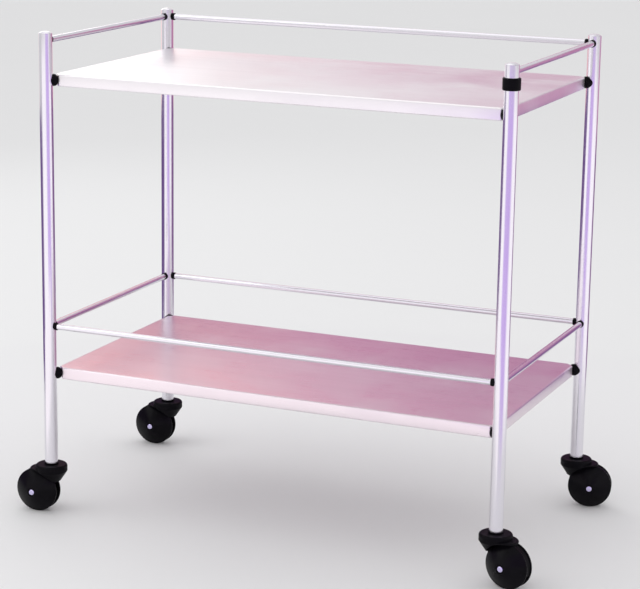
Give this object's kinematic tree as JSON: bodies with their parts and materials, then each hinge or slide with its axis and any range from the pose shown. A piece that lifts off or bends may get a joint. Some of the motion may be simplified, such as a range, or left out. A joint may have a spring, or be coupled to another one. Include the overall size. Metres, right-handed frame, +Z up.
{
  "type": "instrument trolley",
  "caption": "Open ward trolley: round tube posts, folded-sheet shelves, thin guard rails with black ferrules, and swivelling twin-wheel ball castors.",
  "frame": {"origin": "on the floor, midway between the posts", "axes": "+X along the length, to the right of someone at the open front; +Y towards the back; +Z up"},
  "size_m": [0.9262, 0.496, 0.8226],
  "materials": {
    "post_steel": "polished stainless tube",
    "cap_steel": "polished",
    "rail_steel": "polished stainless tube",
    "upper_shelf_steel": "bright satin stainless sheet",
    "lower_shelf_steel": "satin stainless sheet",
    "channel_steel": "mill finish",
    "fixing_steel": "bright zinc",
    "black_plastic": "black moulded nylon",
    "castor_plastic": "black moulded plastic",
    "wheel_plastic": "black moulded plastic with a smooth tread",
    "axle_steel": "bright plated"
  },
  "bodies": {
    "frame": {"front_left_post": "post_steel", "front_left_post_cap": "cap_steel", "front_left_castor_socket": "black_plastic", "front_right_post": "post_steel", "front_right_post_cap": "cap_steel", "front_right_castor_socket": "black_plastic", "back_left_post": "post_steel", "back_left_post_cap": "cap_steel", "back_left_castor_socket": "black_plastic", "back_right_post": "post_steel", "back_right_post_cap": "cap_steel", "back_right_castor_socket": "black_plastic", "front_right_post_ring": "black_plastic", "upper_shelf": "upper_shelf_steel", "upper_shelf_channel": "channel_steel", "upper_shelf_spacers": "black_plastic", "upper_shelf_inserts": "fixing_steel", "upper_shelf_screws": "fixing_steel", "upper_shelf_washers": "fixing_steel", "upper_rail_ferrules": "black_plastic", "upper_left_rail": "rail_steel", "upper_back_rail": "rail_steel", "upper_right_rail": "rail_steel", "lower_shelf": "lower_shelf_steel", "lower_shelf_channel": "channel_steel", "lower_shelf_spacers": "black_plastic", "lower_shelf_inserts": "fixing_steel", "lower_shelf_screws": "fixing_steel", "lower_shelf_washers": "fixing_steel", "lower_rail_ferrules": "black_plastic", "lower_left_rail": "rail_steel", "lower_back_rail": "rail_steel", "lower_right_rail": "rail_steel", "lower_front_rail": "rail_steel"},
    "front_left_castor": {"front_left_castor_housing": "castor_plastic", "front_left_castor_stem": "axle_steel", "front_left_castor_axle": "axle_steel"},
    "front_left_outer_wheel": {"front_left_castor_outer_wheel": "wheel_plastic"},
    "front_left_inner_wheel": {"front_left_castor_inner_wheel": "wheel_plastic"},
    "front_right_castor": {"front_right_castor_housing": "castor_plastic", "front_right_castor_stem": "axle_steel", "front_right_castor_axle": "axle_steel"},
    "front_right_outer_wheel": {"front_right_castor_outer_wheel": "wheel_plastic"},
    "front_right_inner_wheel": {"front_right_castor_inner_wheel": "wheel_plastic"},
    "back_left_castor": {"back_left_castor_housing": "castor_plastic", "back_left_castor_stem": "axle_steel", "back_left_castor_axle": "axle_steel"},
    "back_left_outer_wheel": {"back_left_castor_outer_wheel": "wheel_plastic"},
    "back_left_inner_wheel": {"back_left_castor_inner_wheel": "wheel_plastic"},
    "back_right_castor": {"back_right_castor_housing": "castor_plastic", "back_right_castor_stem": "axle_steel", "back_right_castor_axle": "axle_steel"},
    "back_right_outer_wheel": {"back_right_castor_outer_wheel": "wheel_plastic"},
    "back_right_inner_wheel": {"back_right_castor_inner_wheel": "wheel_plastic"}
  },
  "joints": [
    {"name": "front_left_swivel", "type": "hinge", "parent": "frame", "child": "front_left_castor", "pos_m": [-0.4, -0.215, 0.0876], "axis": [0, 0, 1], "continuous": true},
    {"name": "front_left_outer_wheel_spin", "type": "hinge", "parent": "front_left_castor", "child": "front_left_outer_wheel", "pos_m": [-0.42539, -0.21589, 0.0375], "axis": [-0.0349, 0.9994, 0], "continuous": true},
    {"name": "front_left_inner_wheel_spin", "type": "hinge", "parent": "front_left_castor", "child": "front_left_inner_wheel", "pos_m": [-0.42539, -0.21589, 0.0375], "axis": [-0.0349, 0.9994, 0], "continuous": true},
    {"name": "front_right_swivel", "type": "hinge", "parent": "frame", "child": "front_right_castor", "pos_m": [0.4, -0.215, 0.0876], "axis": [0, 0, 1], "continuous": true},
    {"name": "front_right_outer_wheel_spin", "type": "hinge", "parent": "front_right_castor", "child": "front_right_outer_wheel", "pos_m": [0.42475, -0.22071, 0.0375], "axis": [0.225, 0.9744, 0], "continuous": true},
    {"name": "front_right_inner_wheel_spin", "type": "hinge", "parent": "front_right_castor", "child": "front_right_inner_wheel", "pos_m": [0.42475, -0.22071, 0.0375], "axis": [0.225, 0.9744, 0], "continuous": true},
    {"name": "back_left_swivel", "type": "hinge", "parent": "frame", "child": "back_left_castor", "pos_m": [-0.4, 0.215, 0.0876], "axis": [0, 0, 1], "continuous": true},
    {"name": "back_left_outer_wheel_spin", "type": "hinge", "parent": "back_left_castor", "child": "back_left_outer_wheel", "pos_m": [-0.42539, 0.21411, 0.0375], "axis": [-0.0349, 0.9994, 0], "continuous": true},
    {"name": "back_left_inner_wheel_spin", "type": "hinge", "parent": "back_left_castor", "child": "back_left_inner_wheel", "pos_m": [-0.42539, 0.21411, 0.0375], "axis": [-0.0349, 0.9994, 0], "continuous": true},
    {"name": "back_right_swivel", "type": "hinge", "parent": "frame", "child": "back_right_castor", "pos_m": [0.4, 0.215, 0.0876], "axis": [0, 0, 1], "continuous": true},
    {"name": "back_right_outer_wheel_spin", "type": "hinge", "parent": "back_right_castor", "child": "back_right_outer_wheel", "pos_m": [0.42475, 0.22071, 0.0375], "axis": [-0.225, 0.9744, 0], "continuous": true},
    {"name": "back_right_inner_wheel_spin", "type": "hinge", "parent": "back_right_castor", "child": "back_right_inner_wheel", "pos_m": [0.42475, 0.22071, 0.0375], "axis": [-0.225, 0.9744, 0], "continuous": true}
  ]
}
